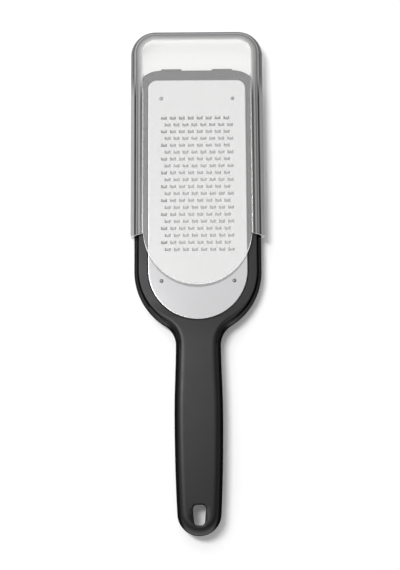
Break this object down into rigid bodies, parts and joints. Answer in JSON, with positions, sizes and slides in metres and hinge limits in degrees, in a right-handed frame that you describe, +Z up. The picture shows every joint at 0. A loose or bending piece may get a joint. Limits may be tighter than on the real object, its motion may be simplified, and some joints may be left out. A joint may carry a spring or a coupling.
{
  "type": "fine grater",
  "caption": "Flat hand grater with a black moulded handle and rim, a finely toothed steel plate, rubber feet at the tip and a clear cover that slides on guide flanges.",
  "frame": {"origin": "under the middle of the part's box at rest, on the table that the handle's belly and the feet stand on", "axes": "+Y from the handle's butt towards the tip, +Z up through the toothed face, +X to the right of a user who looks along +Y"},
  "size_m": [0.0744, 0.2818, 0.0187],
  "materials": {
    "moulded_handle": "fine moulded grain, satin black",
    "steel_plate": "satin rolled sheet",
    "steel_rivet": "dull pressed head",
    "rubber_foot": "matt soft rubber",
    "clear_cover": "clear, polished"
  },
  "bodies": {
    "grater": {"handle_frame": "moulded_handle", "grating_plate": "steel_plate", "plate_rivet_front_left": "steel_rivet", "plate_rivet_front_right": "steel_rivet", "plate_rivet_rear_left": "steel_rivet", "plate_rivet_rear_right": "steel_rivet", "front_foot_left": "rubber_foot", "front_foot_right": "rubber_foot"},
    "cover": {"protective_cover": "clear_cover"}
  },
  "joints": [
    {"name": "cover_slide", "type": "slide", "parent": "grater", "child": "cover", "axis": [0, 1, 0], "range_m": [-0.0187, 0.127]}
  ]
}
